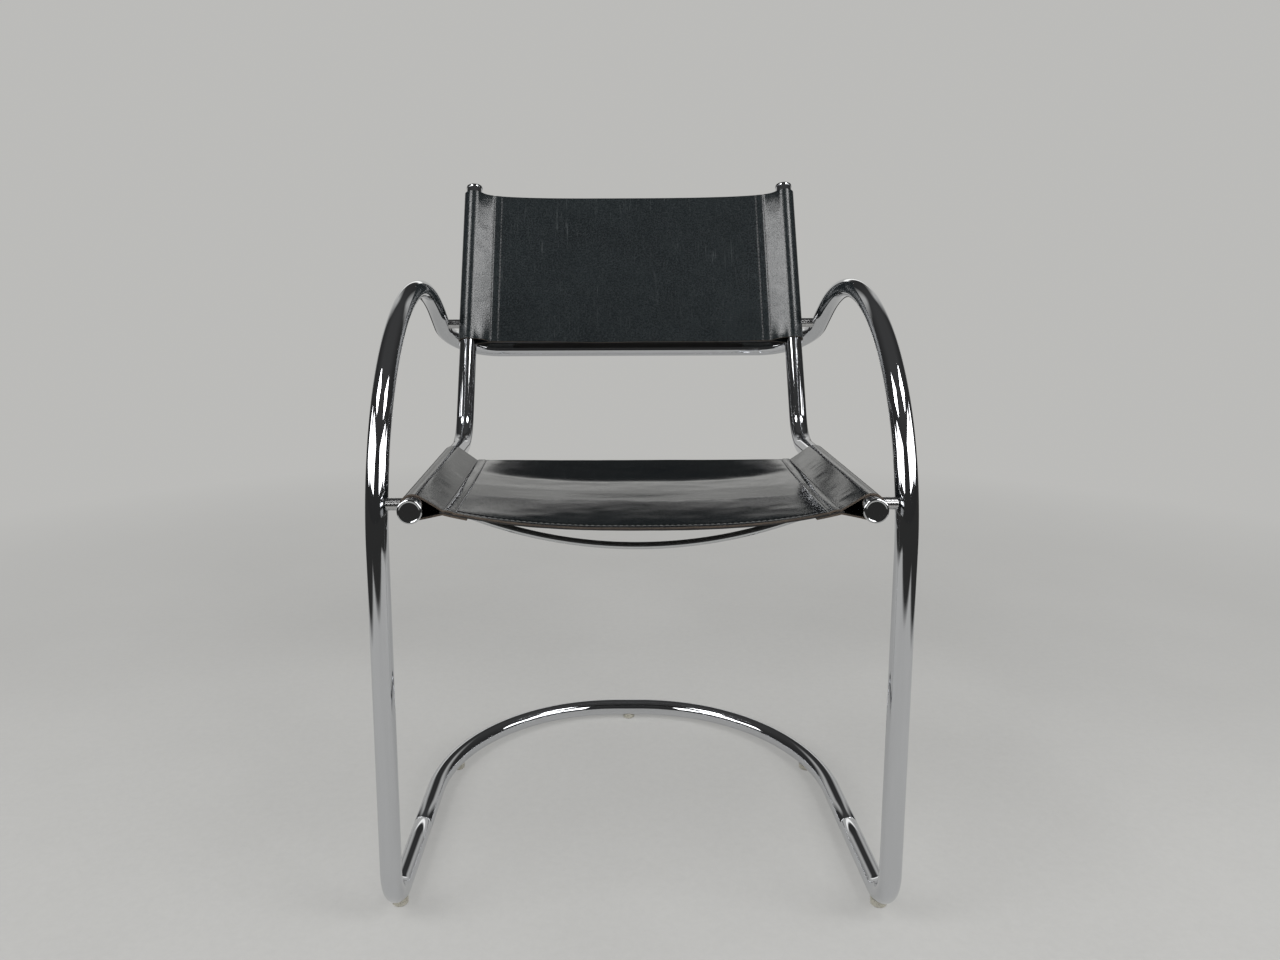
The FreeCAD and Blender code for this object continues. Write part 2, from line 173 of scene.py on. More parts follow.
def math_node(tree, op, a, b=None, clamp=False):
    n = tree.nodes.new("ShaderNodeMath")
    n.operation = op
    n.use_clamp = clamp
    for i, v in enumerate((a, b)):
        if v is None:
            continue
        if isinstance(v, (int, float)):
            n.inputs[i].default_value = v
        else:
            tree.links.new(v, n.inputs[i])
    return n.outputs[0]


def bump(tree, height, strength, distance, normal=None):
    b = tree.nodes.new("ShaderNodeBump")
    b.inputs["Strength"].default_value = strength
    b.inputs["Distance"].default_value = distance
    tree.links.new(height, b.inputs["Height"])
    if normal is not None:
        tree.links.new(normal, b.inputs["Normal"])
    return b.outputs["Normal"]


def chrome(name, tint, rough_low, rough_high, scratch=0.05):
    """Plated or bare metal with faint clouds, fine scratches and a few dull pits."""
    m, t, out = new_material(name)
    p = t.nodes.new("ShaderNodeBsdfPrincipled")
    p.inputs["Metallic"].default_value = 1.0
    v = coords(t)
    cloud = noise_tex(t, v, 26.0, 4.0, 0.6)
    pits = noise_tex(t, v, 900.0, 2.0, 0.5)
    spots = ramp(t, pits, [(0.0, grey(0)), (0.70, grey(0)), (0.78, grey(1)), (1.0, grey(1))])
    wear = ramp(t, noise_tex(t, v, 9.0, 5.0, 0.65),
                [(0.0, grey(0)), (0.56, grey(0)), (0.8, grey(1)), (1.0, grey(1))])
    dull = math_node(t, "MULTIPLY", spots, wear)
    pitted = (tint[0] * 0.45, tint[1] * 0.43, tint[2] * 0.42)
    t.links.new(mix_colour(t, dull, tint, pitted), p.inputs["Base Color"])
    low = ramp(t, cloud, [(0.3, grey(rough_low)), (0.75, grey(rough_high))])
    total = math_node(t, "ADD", low, math_node(t, "MULTIPLY", dull, 0.35), True)
    t.links.new(total, p.inputs["Roughness"])
    fine = noise_tex(t, coords(t, (60, 60, 900)), 6.0, 3.0, 0.7)
    t.links.new(bump(t, fine, scratch, 0.00004), p.inputs["Normal"])
    t.links.new(p.outputs[0], out.inputs[0])
    return m


def leather(name, base, lift, rough, grain, crease, fleck, scuff):
    """Grained leather between two colours, with fine flecks and thin scuffs."""
    m, t, out = new_material(name)
    p = t.nodes.new("ShaderNodeBsdfPrincipled")
    v = coords(t)
    pebble = t.nodes.new("ShaderNodeTexVoronoi")
    pebble.feature = "SMOOTH_F1"
    pebble.inputs["Scale"].default_value = 900.0
    pebble.inputs["Smoothness"].default_value = 0.45
    warp = t.nodes.new("ShaderNodeVectorMath")
    warp.operation = "ADD"
    wob = t.nodes.new("ShaderNodeTexNoise")
    wob.inputs["Scale"].default_value = 300.0
    wob.inputs["Detail"].default_value = 2.0
    t.links.new(v, wob.inputs["Vector"])
    shrink = t.nodes.new("ShaderNodeVectorMath")
    shrink.operation = "SCALE"
    shrink.inputs["Scale"].default_value = 0.0011
    t.links.new(wob.outputs["Color"], shrink.inputs[0])
    t.links.new(v, warp.inputs[0])
    t.links.new(shrink.outputs[0], warp.inputs[1])
    t.links.new(warp.outputs[0], pebble.inputs["Vector"])
    cells = ramp(t, pebble.outputs["Distance"], [(0.0, grey(1)), (0.35, grey(0.75)), (0.75, grey(0))])
    broad = noise_tex(t, coords(t, (1.0, 1.0, 1.0)), 11.0, 4.0, 0.6, 0.4)
    folds = noise_tex(t, coords(t, (18, 70, 70)), 1.0, 5.0, 0.6, 0.8)
    mottle = noise_tex(t, v, 42.0, 5.0, 0.65)
    mix = math_node(t, "ADD", math_node(t, "MULTIPLY", broad, 0.6), math_node(t, "MULTIPLY", mottle, 0.4))
    worn = ramp(t, mix, [(0.30, grey(0)), (0.75, grey(1))])
    tone = mix_colour(t, worn, base, lift)
    # Flecks of rubbed grain and mostly upright scuffs, both a little lighter than the leather
    grit = ramp(t, noise_tex(t, v, 520.0, 5.0, 0.8),
                [(0.0, grey(0)), (0.47, grey(0)), (0.62, grey(1)), (1.0, grey(1))])
    scrape = ramp(t, noise_tex(t, coords(t, (420, 16, 26)), 1.0, 2.0, 0.5, 1.2),
                  [(0.0, grey(0)), (0.62, grey(0)), (0.70, grey(1)), (1.0, grey(1))])
    patches = ramp(t, noise_tex(t, v, 14.0, 3.0, 0.6), [(0.42, grey(0)), (0.62, grey(1))])
    marks = math_node(t, "ADD", math_node(t, "MULTIPLY", grit, fleck),
                      math_node(t, "MULTIPLY", math_node(t, "MULTIPLY", scrape, patches), scuff), True)
    t.links.new(mix_colour(t, marks, tone, RUBBED), p.inputs["Base Color"])
    r = ramp(t, mottle, [(0.25, grey(rough - 0.02)), (0.8, grey(rough + 0.05))])
    t.links.new(r, p.inputs["Roughness"])
    n1 = bump(t, folds, crease * 0.35, 0.0012)
    n2 = bump(t, cells, grain * 0.35, 0.00022, n1)
    n3 = bump(t, noise_tex(t, v, 3000.0, 2.0, 0.6), 0.15, 0.00005, n2)
    t.links.new(n3, p.inputs["Normal"])
    p.inputs["Specular IOR Level"].default_value = 0.5
    t.links.new(p.outputs[0], out.inputs[0])
    return m


def fibre(name, dark, light, rough, scale, depth):
    """Matt fibres, for the leather's cut edges and rough side."""
    m, t, out = new_material(name)
    p = t.nodes.new("ShaderNodeBsdfPrincipled")
    v = coords(t)
    f = noise_tex(t, v, scale, 6.0, 0.7, 0.6)
    patch = noise_tex(t, v, 30.0, 3.0, 0.6)
    s = math_node(t, "ADD", math_node(t, "MULTIPLY", f, 0.6), math_node(t, "MULTIPLY", patch, 0.4))
    t.links.new(ramp(t, s, [(0.3, (*dark, 1.0)), (0.7, (*light, 1.0))]), p.inputs["Base Color"])
    p.inputs["Roughness"].default_value = rough
    t.links.new(bump(t, f, 0.6, depth), p.inputs["Normal"])
    t.links.new(p.outputs[0], out.inputs[0])
    return m


def thread_material(name, dark, light):
    """Twisted thread: slanting bands from dark to light."""
    m, t, out = new_material(name)
    p = t.nodes.new("ShaderNodeBsdfPrincipled")
    w = t.nodes.new("ShaderNodeTexWave")
    w.inputs["Scale"].default_value = 900.0
    w.inputs["Distortion"].default_value = 1.5
    w.bands_direction = "DIAGONAL"
    t.links.new(coords(t), w.inputs["Vector"])
    bands = ramp(t, w.outputs["Fac"], [(0.1, (*dark, 1.0)), (0.9, (*light, 1.0))])
    t.links.new(bands, p.inputs["Base Color"])
    p.inputs["Roughness"].default_value = 0.6
    t.links.new(bump(t, w.outputs["Fac"], 0.5, 0.00008), p.inputs["Normal"])
    t.links.new(p.outputs[0], out.inputs[0])
    return m


def clear_plastic(name):
    """Slightly yellowed, hazy plastic."""
    m, t, out = new_material(name)
    p = t.nodes.new("ShaderNodeBsdfPrincipled")
    v = coords(t)
    haze = noise_tex(t, v, 220.0, 4.0, 0.6)
    colour = ramp(t, haze, [(0.3, (0.50, 0.47, 0.38, 1)), (0.7, (0.66, 0.64, 0.56, 1))])
    t.links.new(colour, p.inputs["Base Color"])
    frost = ramp(t, noise_tex(t, v, 600.0), [(0.3, grey(0.22)), (0.7, grey(0.42))])
    t.links.new(frost, p.inputs["Roughness"])
    p.inputs["Transmission Weight"].default_value = 0.35
    p.inputs["IOR"].default_value = 1.47
    t.links.new(bump(t, haze, 0.25, 0.0001), p.inputs["Normal"])
    t.links.new(p.outputs[0], out.inputs[0])
    return m


M_CHROME = chrome("chrome_outer", (0.63, 0.64, 0.66), 0.03, 0.07)
M_CHROME_IN = chrome("chrome_inner", (0.61, 0.62, 0.645), 0.03, 0.08)
M_FITTING = chrome("chrome_fitting", (0.58, 0.59, 0.60), 0.05, 0.11, 0.06)
M_SPACER = chrome("chrome_spacer", (0.50, 0.50, 0.50), 0.16, 0.26, 0.12)
M_STEEL = chrome("steel_fastener", (0.55, 0.55, 0.57), 0.28, 0.42, 0.3)
M_SLEEVE = chrome("steel_sleeve", (0.50, 0.50, 0.52), 0.30, 0.45, 0.3)
M_LEATHER = leather("leather_black", (0.0075, 0.0100, 0.0112), (0.0125, 0.0165, 0.0182), rough=0.19,
                    grain=0.75, crease=0.10, fleck=0.32, scuff=0.45)
# Painted shade: the seat is the same leather as the back, with darker base and lift colours so that it renders
# darker than the lamps alone make it; its lower roughness, finer grain and fewer flecks and scuffs are its own.
M_SEAT_SHADED = leather("leather_seat_painted_shade", (0.0042, 0.0052, 0.0058), (0.0074, 0.0090, 0.0098), rough=0.12,
                 grain=0.14, crease=0.02, fleck=0.10, scuff=0.16)
M_EDGE = fibre("leather_cut_edge", (0.018, 0.013, 0.010), (0.105, 0.080, 0.060), 0.85, 700.0, 0.0003)
M_SUEDE = fibre("lining_dark", (0.010, 0.010, 0.010), (0.030, 0.028, 0.026), 0.92, 420.0, 0.0004)
M_THREAD = thread_material("thread_dark", (0.018, 0.018, 0.019), (0.07, 0.072, 0.074))
M_HEM = thread_material("thread_hem", (0.03, 0.03, 0.03), (0.10, 0.10, 0.097))
M_GLIDE = clear_plastic("glide_clear")


def give(obj, *mats):
    obj.data.materials.clear()
    for m in mats:
        obj.data.materials.append(m)


def mesh_object(name, verts, faces, smooth=True):
    me = bpy.data.meshes.new(name)
    me.from_pydata([tuple(v) for v in verts], [], faces)
    me.validate()
    me.update()
    bm = bmesh.new()
    bm.from_mesh(me)
    bmesh.ops.recalc_face_normals(bm, faces=bm.faces)
    bm.to_mesh(me)
    bm.free()
    if smooth:
        me.shade_smooth()
    o = bpy.data.objects.new(name, me)
    scene.collection.objects.link(o)
    return o


# ---------------------------------------------------------------- bent tubes
def rounded_path(corners, radii, arc_step=0.035, run_step=30.0):
    """Points and headings of a path of straight runs and tangent arcs."""
    corners = [Vector(c) for c in corners]
    out = []

    def run(a, b, last):
        n = max(1, int((b - a).length / run_step))
        heading = (b - a).normalized()
        for i in range(n + (1 if last else 0)):
            out.append((a.lerp(b, i / n), heading))

    start = corners[0]
    for i in range(1, len(corners) - 1):
        c = corners[i]
        u = (corners[i - 1] - c).normalized()
        w = (corners[i + 1] - c).normalized()
        half = u.angle(w) / 2.0
        reach = radii[i - 1] / math.tan(half)
        first = c + u * reach
        last = c + w * reach
        centre = c + (u + w).normalized() * (radii[i - 1] / math.sin(half))
        run(start, first, False)
        a = (first - centre).normalized()
        turn = math.pi - 2.0 * half
        side = -u
        n = max(6, int(turn / arc_step))
        for k in range(n):
            g = turn * k / n
            spoke = a * math.cos(g) + side * math.sin(g)
            out.append((centre + spoke * radii[i - 1], -a * math.sin(g) + side * math.cos(g)))
        start = last
    run(start, corners[-1], True)
    return out


def sweep(name, path, radius, ends=("closed", "closed"), seg=56, bore=None):
    """A round bar or tube along a path. An open end shows the bore."""
    verts = []
    faces = []
    rings = []
    t0 = path[0][1]
    ref = Vector((1, 0, 0)) if abs(t0.x) < 0.8 else Vector((0, 0, 1))
    up = (ref - t0 * ref.dot(t0)).normalized()

    def ring(p, t, r):
        nonlocal up
        up = (up - t * up.dot(t)).normalized()
        side = t.cross(up)
        start = len(verts)
        for k in range(seg):
            g = 2.0 * math.pi * k / seg
            verts.append(mm(p + (up * math.cos(g) + side * math.sin(g)) * r))
        rings.append(start)

    def end(p, t, kind, first):
        rows = [(0.35, radius), (0.1, radius - 0.1), (0.0, radius - 0.35)]
        if kind == "open":
            rows += [(0.0, bore + 0.25), (0.25, bore), (14.0, bore)]
        if not first:
            rows = [(-a, r) for a, r in rows]
        else:
            rows = rows[::-1]
        for a, r in rows:
            ring(p + t * a, t, r)

    end(path[0][0], path[0][1], ends[0], True)
    for p, t in path[1:-1]:
        ring(p, t, radius)
    end(path[-1][0], path[-1][1], ends[1], False)
    for a, b in zip(rings, rings[1:]):
        for k in range(seg):
            j = (k + 1) % seg
            faces.append((a + k, a + j, b + j, b + k))
    faces.append(tuple(rings[0] + k for k in range(seg))[::-1])
    faces.append(tuple(rings[-1] + k for k in range(seg)))
    o = mesh_object(name, verts, faces)
    return o


def place(obj, slot, replaced, *mats):
    give(obj, *mats)
    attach(obj, "root")
    if replaced:
        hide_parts(*replaced)
    return obj


def flip(p):
    return Vector((-p[0], p[1], p[2]))


arm_tangent = ARM_R * math.tan((math.pi / 2.0 + DROP) / 2.0)
peak = ARM_START + arm_tangent
reach = arm_tangent + ARM_TAIL + REAR_R
bar = Vector((HALF_LEG, reach * math.cos(DROP), peak - reach * math.sin(DROP)))
foot = Vector((HALF_LEG, 0, BASE_Z))
rear_corner = Vector((BASE_HALF, BASE_DEPTH, BASE_Z))
runner = (rear_corner - foot).normalized()
joint = foot + runner * (JOINT_Y / runner.y)
shift = runner * 0.075
half_arm = [joint - shift, foot, Vector((HALF_LEG, 0, peak)), bar]
arm_path = rounded_path(half_arm + [flip(p) for p in reversed(half_arm)],
                        [FOOT_R, ARM_R, REAR_R, REAR_R, ARM_R, FOOT_R])
arm = sweep("arm_tube", arm_path, TUBE_R, ("open", "open"), bore=BORE_R)
place(arm, "chrome_outer", ["arm_frame"], M_CHROME)

half_base = [joint + shift, rear_corner]
base_path = rounded_path(half_base + [flip(p) for p in reversed(half_base)], [BASE_R, BASE_R], 0.02)
base = sweep("base_tube", base_path, TUBE_R, ("open", "open"), bore=BORE_R)
place(base, "chrome_outer", ["base_bow"], M_CHROME)

UP = Vector((0.0, math.sin(LEAN), math.cos(LEAN)))
OUT = Vector((0.0, -math.cos(LEAN), math.sin(LEAN)))
UP_BASE = Vector((0.0, UP_Y, UP_Z))
corner_y = UP_Y - math.tan(LEAN) * (UP_Z - RAIL_Z)
top_s = (TOP_Z - UP_Z) / math.cos(LEAN)
for side, word in ((1.0, "right"), (-1.0, "left")):
    x = side * HALF_RAIL
    line = [Vector((x, RAIL_FRONT + CAP_T, RAIL_Z)), Vector((x, corner_y, RAIL_Z)),
            Vector((x, 0, 0)) + UP_BASE + UP * (top_s - CAP_T)]
    tube = sweep("inner_tube_" + word, rounded_path(line, [SEAT_BACK_R]), TUBE_R, seg=56)
    place(tube, "chrome_inner", ["seat_back_tube_" + word], M_CHROME_IN)


def lathe(name, start, axis, profile, seg=56):
    """A turned piece: profile is (distance along the axis, radius)."""
    axis = axis.normalized()
    ref = Vector((1, 0, 0)) if abs(axis.x) < 0.8 else Vector((0, 0, 1))
    u = (ref - axis * ref.dot(axis)).normalized()
    w = axis.cross(u)
    verts = []
    faces = []
    for a, r in profile:
        for k in range(seg):
            g = 2.0 * math.pi * k / seg
            verts.append(mm(start + axis * a + (u * math.cos(g) + w * math.sin(g)) * r))
    n = len(profile)
    for i in range(n - 1):
        for k in range(seg):
            j = (k + 1) % seg
            faces.append((i * seg + k, i * seg + j, (i + 1) * seg + j, (i + 1) * seg + k))
    faces.append(tuple(range(seg))[::-1])
    faces.append(tuple((n - 1) * seg + k for k in range(seg)))
    return mesh_object(name, verts, faces)


# End caps: a shallow dished disc with a rolled rim
plug_profile = [(-15.5, 8.6), (-14.5, 8.9), (-0.02, 8.9)]
cap_profile = plug_profile + [
    (0.0, CAP_R - 0.5), (0.25, CAP_R - 0.1), (0.7, CAP_R), (CAP_T - 1.4, CAP_R), (CAP_T - 0.8, CAP_R - 0.2),
    (CAP_T - 0.3, CAP_R - 0.7), (CAP_T, CAP_R - 1.3), (CAP_T - 0.12, CAP_R - 2.0),
    (CAP_T - 0.45, CAP_R - 2.4), (CAP_T - 0.5, CAP_R - 3.2), (CAP_T - 0.38, 4.0), (CAP_T - 0.35, 0.4)]
# The top caps are as wide as the tube
top_profile = plug_profile + [
    (0.0, TUBE_R - 0.1), (0.15, TUBE_R + 0.15), (0.4, TUBE_R + 0.2), (CAP_T - 0.7, TUBE_R + 0.2),
    (CAP_T - 0.3, TUBE_R + 0.05), (CAP_T - 0.05, TUBE_R - 0.35), (CAP_T, TUBE_R - 0.9),
    (CAP_T - 0.15, TUBE_R - 1.6), (CAP_T - 0.4, TUBE_R - 2.4), (CAP_T - 0.35, 0.4)]
for side, word in ((1.0, "right"), (-1.0, "left")):
    x = side * HALF_RAIL
    front = Vector((x, RAIL_FRONT + CAP_T, RAIL_Z))
    cap = lathe("front_cap_piece_" + word, front, Vector((0, -1, 0)), cap_profile)
    place(cap, "chrome_fitting", ["front_cap_" + word], M_FITTING)
    top = Vector((x, 0, 0)) + UP_BASE + UP * (top_s - CAP_T)
    cap = lathe("top_cap_piece_" + word, top, UP, top_profile)
    place(cap, "chrome_fitting", ["top_cap_" + word], M_FITTING)

# Bowed brace
turn = math.asin((HALF_RAIL - BRACE_TURN) / (BRACE_R - BRACE_TURN))
top_z = BRACE_LOW + BRACE_R - (BRACE_R - BRACE_TURN) * math.cos(turn)
half = []
for k in range(61):
    g = turn * k / 60
    bow_z = BRACE_LOW + BRACE_R * (1.0 - math.cos(g))
    half.append((Vector((BRACE_R * math.sin(g), BRACE_Y, bow_z)), Vector((math.cos(g), 0, math.sin(g)))))
for k in range(1, 19):
    g = turn + (math.pi / 2.0 - turn) * k / 18
    end_x = HALF_RAIL - BRACE_TURN + BRACE_TURN * math.sin(g)
    end_z = top_z - BRACE_TURN * math.cos(g)
    half.append((Vector((end_x, BRACE_Y, end_z)), Vector((math.cos(g), 0, math.sin(g)))))
half.append((half[-1][0] + Vector((0, 0, BRACE_ROD_R)), Vector((0, 0, 1))))
left = [(flip(p), Vector((t.x, t.y, -t.z))) for p, t in reversed(half[1:])]
brace = sweep("brace_bar", left + half, BRACE_ROD_R, seg=32)
place(brace, "chrome_fitting", ["brace_rod"], M_FITTING)


# ---------------------------------------------------------------- slings
def smooth_step(f):
    f = min(max(f, 0.0), 1.0)
    return f * f * (3.0 - 2.0 * f)


def wave(x, y, z, scale):
    return noise.noise(Vector((x * scale, y * scale, z * scale)))


def wrap_line(level, flap_end):
    """Middle line of a sling's right end: over the tube, round it, back to the seam and along the flap.

    Returns points (x, w), with w from the tube's centre. Along the flap, which follows the panel, w is None."""
    pts = []

    def touch(px, pw, sense):
        dx = px - HALF_RAIL
        g = math.atan2(pw, dx) - sense * math.acos(WRAP_R / math.hypot(dx, pw))
        while g > math.pi:
            g -= 2.0 * math.pi
        while g < -math.pi:
            g += 2.0 * math.pi
        return g

    a = touch(SEAM_1, level, 1.0)
    b = touch(SEAM_1, level - LAYER, -1.0)
    ta = (HALF_RAIL + WRAP_R * math.cos(a), WRAP_R * math.sin(a))
    tb = (HALF_RAIL + WRAP_R * math.cos(b), WRAP_R * math.sin(b))
    for k in range(1, OUT_N):
        f = k / OUT_N
        pts.append((SEAM_1 + (ta[0] - SEAM_1) * f, level + (ta[1] - level) * f))
    for k in range(ROUND_N + 1):
        g = a + (b - a) * k / ROUND_N
        pts.append((HALF_RAIL + WRAP_R * math.cos(g), WRAP_R * math.sin(g)))
    for k in range(1, RETURN_N + 1):
        f = k / RETURN_N
        pts.append((tb[0] + (SEAM_1 - tb[0]) * f, tb[1] + (level - LAYER - tb[1]) * f))
    for k in range(1, FLAP_N + 1):
        pts.append((SEAM_1 + (flap_end - SEAM_1) * k / FLAP_N, None))
    return pts


panel_x = [0.0]
step_x = 5.0
while panel_x[-1] < SEAM_1 - 0.01:
    x = panel_x[-1]
    near = min(abs(x - SEAM_1), abs(x - SEAM_2))
    panel_x.append(min(SEAM_1, x + (0.55 if near < 4.0 else 1.6 if near < 12.0 else step_x)))


def seam_shape(x, along, seed):
    """Groove along both stitch rows, the swell between them and the pucker of the stitches."""
    ax = abs(x)
    h = 0.0
    for row in (ROW_1, ROW_2):
        d = ax - row
        h -= 0.75 * math.exp(-(d / 0.85) ** 2)
        h += 0.16 * math.exp(-(d / 3.2) ** 2) * math.cos(2.0 * math.pi * along / PITCH)
    mid = (ROW_1 + ROW_2) / 2.0
    h += 0.75 * math.exp(-((ax - mid) / 4.2) ** 4)
    h += 0.2 * math.exp(-((ax - mid) / 22.0) ** 2) * wave(x * 0.4, along, seed, 0.045)
    return h


# Ends of the back along its slope, and how far its tunnels swell or flatten there
BACK_LOW = -24.5
BACK_HIGH = 194.0
CURL = -2.4

# Seat
SEAT_FRONT = -9.0
SEAT_REAR = 238.0
SEAT_LEVEL = 435.6
FRONT_RISE = 1.9
FRONT_SAG = 17.2
REAR_SAG = 0.8
HOLLOW = 13.3
CREST_Y = 79.0
CREST_SAG = 9.9
# Depth of the middle line below the seam and its slope, from the crest to the rear edge
HOLLOW_LINE = [(CREST_Y, CREST_SAG, 0.0), (88.0, 10.4, 0.08), (112.0, 12.4, 0.08), (129.0, HOLLOW, 0.0),
               (170.0, HOLLOW, 0.0), (190.0, 11.1, -0.215), (238.0, REAR_SAG, -0.215)]


def crease_y(x):
    ax = abs(x)
    if ax < 191.0:
        return CREST_Y - (CREST_Y - 69.0) * (ax / 191.0) ** 2
    return 69.0 + 38.0 * min((ax - 191.0) / 29.0, 1.0)


def droop(x, y):
    """0 behind the crease, 1 at the front edge, with a rounded fold."""
    c = crease_y(x)

    def soft(t):
        return 0.5 * (t + math.sqrt(t * t + 90.0))

    return max(0.0, (soft(c - y) - soft(c - SEAT_REAR)) / (soft(c - SEAT_FRONT) - soft(c - SEAT_REAR)))


def middle_sag(y):
    """Depth of the seat's middle line below the seams."""
    if y <= CREST_Y:
        f = (CREST_Y - y) / (CREST_Y - SEAT_FRONT)
        return CREST_SAG + (FRONT_SAG - FRONT_RISE - CREST_SAG) * f ** 1.5
    for (y0, d0, m0), (y1, d1, m1) in zip(HOLLOW_LINE, HOLLOW_LINE[1:]):
        if y <= y1 + 1e-6:
            h = y1 - y0
            t = (y - y0) / h
            return ((2 * t ** 3 - 3 * t * t + 1) * d0 + (t ** 3 - 2 * t * t + t) * h * m0
                    + (3 * t * t - 2 * t ** 3) * d1 + (t ** 3 - t * t) * h * m1)
    return REAR_SAG


def seat_height(x, y):
    """Middle of the seat sheet between the seams."""
    rise = FRONT_RISE * droop(x, y)
    shifted = y + (CREST_Y - crease_y(min(abs(x), SEAM_1))) * (1.0 - smooth_step(abs(y - CREST_Y) / 60.0))
    sag = middle_sag(shifted) + rise
    return SEAT_LEVEL + rise - sag * (1.0 - min(abs(x) / SEAM_1, 1.0) ** SAG_POWER)


def seat_detail(x, y):
    h = 0.75 * seam_shape(x, y, 3.0)
    ax = abs(x)
    inner = smooth_step((SEAM_2 - ax) / 40.0)
    h += inner * (0.30 * wave(x * 0.5, y, 1.0, 0.022) + 0.12 * wave(x, y * 1.6, 7.0, 0.05))
    # Pull lines that run in from the seams, and the groove of the hem
    h += 0.12 * (1.0 - inner) * smooth_step((SEAM_2 - ax) / 8.0) * wave(x * 0.25 - y * 0.2, y, 11.0, 0.07)
    h -= 0.5 * math.exp(-(y - (SEAT_FRONT + HEM_IN)) ** 2) * smooth_step((SEAM_2 - 1.0 - ax) / 3.0)
    return h


def tunnel_detail(x, along, seed, curl):
    """Slight ribs and dents of the leather between seam and tube, and the curl near the back's ends."""
    h = 0.16 * wave(x * 0.35, along, seed, 0.11) + 0.22 * wave(x * 0.2, along, seed + 5.0, 0.035)
    return h + curl * (math.exp((along - BACK_HIGH) / 14.0) - math.exp((BACK_LOW - along) / 14.0))


def ys_for(front, rear, fine):
    ys = [front]
    while ys[-1] < rear - 0.01:
        y = ys[-1]
        ys.append(min(rear, y + (1.0 if y < front + 12.0 or y > rear - 4.0 else fine)))
    return ys


def sling(name, stations, level_of, height_of, detail_of, centre_w, place_at, flap_end, seed, curl):
    """Builds the whole sling as one sheet. stations are positions along its depth."""
    rows = []
    for s in stations:
        level = level_of(s)
        right = wrap_line(level - centre_w, flap_end)
        row = []
        for x in panel_x:
            row.append((x, height_of(x, s)))
        for x, w in right:
            if w is None:
                row.append((x, height_of(x, s) - LAYER))
            else:
                row.append((x, w + centre_w))
        rows.append(row)
    count = len(rows[0])
    panel_n = len(panel_x)
    width = 2 * count - 1
    verts = []
    for s, row in zip(stations, rows):
        full = [(-x, w) for x, w in reversed(row[1:])] + row
        for i, (x, w) in enumerate(full):
            a = full[max(i - 1, 0)]
            b = full[min(i + 1, width - 1)]
            dx = b[0] - a[0]
            dw = b[1] - a[1]
            size = math.hypot(dx, dw) or 1.0
            nx = -dw / size
            nw = dx / size
            j = abs(i - (count - 1))
            if j < panel_n:
                h = detail_of(x, s)
            elif j < panel_n + OUT_N - 2:
                f = (j - panel_n) / (OUT_N - 2)
                h = detail_of(x, s) * (1.0 - f) + tunnel_detail(x, s, seed, curl) * math.sin(math.pi * f)
            elif count - FLAP_N - RETURN_N - 2 < j < count - FLAP_N:
                h = -0.4 * wave(x, s, seed + 2.0, 0.05)
            else:
                h = 0.0
            verts.append(mm(place_at(x + nx * h, w + nw * h, s, x)))
    faces = []
    n = len(stations)
    for r in range(n - 1):
        for i in range(width - 1):
            a = r * width + i
            faces.append((a, a + 1, a + width + 1, a + width))
    return mesh_object(name, verts, faces)


def thicken(obj, t, rim):
    """Gives the sheet its thickness, with its own material on the cut edges."""
    m = obj.modifiers.new("thickness", "SOLIDIFY")
    m.thickness = t * 0.001
    m.offset = 0.0
    m.use_rim = True
    m.material_offset_rim = rim
    m.use_even_offset = True
    dg = bpy.context.evaluated_depsgraph_get()
    me = bpy.data.meshes.new_from_object(obj.evaluated_get(dg))
    obj.modifiers.clear()
    obj.data = me
    me.shade_smooth()
    me.set_sharp_from_angle(angle=math.radians(50))
    return obj


def seat_level(y):
    return SEAT_LEVEL + FRONT_RISE * droop(SEAM_1, y)


seat_ys = ys_for(SEAT_FRONT, SEAT_REAR, 2.6)
seat = sling("seat_sling", seat_ys, seat_level, seat_height, seat_detail, RAIL_Z,
             lambda x, w, s, x0: (x, s, w), HALF_RAIL - SEAT_FLAP, 4.0, 0.0)
give(seat, M_SEAT_SHADED, M_EDGE)
thicken(seat, T, 1)
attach(seat, "root")
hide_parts("seat_leather")

# Back
BACK_N = -1.0
BACK_SAG = 5.0
BACK_DIP = 3.4


def rim_at(x):
    return BACK_HIGH - BACK_DIP * (1.0 - min(abs(x) / (HALF_RAIL - TUBE_R), 1.0) ** 6)


def low_at(x):
    return BACK_LOW + 0.9 * wave(x, 0.0, 9.0, 0.012)


def back_height(x, s):
    """Middle of the back sheet between the seams, the same at every height s."""
    return BACK_N - BACK_SAG * (1.0 - min(abs(x) / SEAM_1, 1.0) ** SAG_POWER)


def back_detail(x, s):
    h = 0.32 * seam_shape(x, s, 23.0)
    ax = abs(x)
    inner = smooth_step((SEAM_2 - ax) / 40.0)
    h += inner * (0.30 * wave(x * 0.6, s, 31.0, 0.02) + 0.08 * wave(x, s, 37.0, 0.05))
    h += 0.25 * (1.0 - inner) * smooth_step((SEAM_2 - ax) / 8.0) * wave(x * 0.25, s, 41.0, 0.06)
    return h


def back_place(x, w, s, x0):
    f = (s - BACK_LOW) / (BACK_HIGH - BACK_LOW)
    real = low_at(x0) + (rim_at(x0) - low_at(x0)) * f
    p = Vector((x, 0, 0)) + UP_BASE + UP * real + OUT * w
    return (p.x, p.y, p.z)


back_ss = ys_for(BACK_LOW, BACK_HIGH, 2.6)
back = sling("back_sling", back_ss, lambda s: BACK_N, back_height, back_detail, 0.0,
             back_place, HALF_RAIL - BACK_FLAP, 14.0, CURL)
give(back, M_LEATHER, M_EDGE)
thicken(back, T, 1)
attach(back, "root")
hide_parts("back_leather")


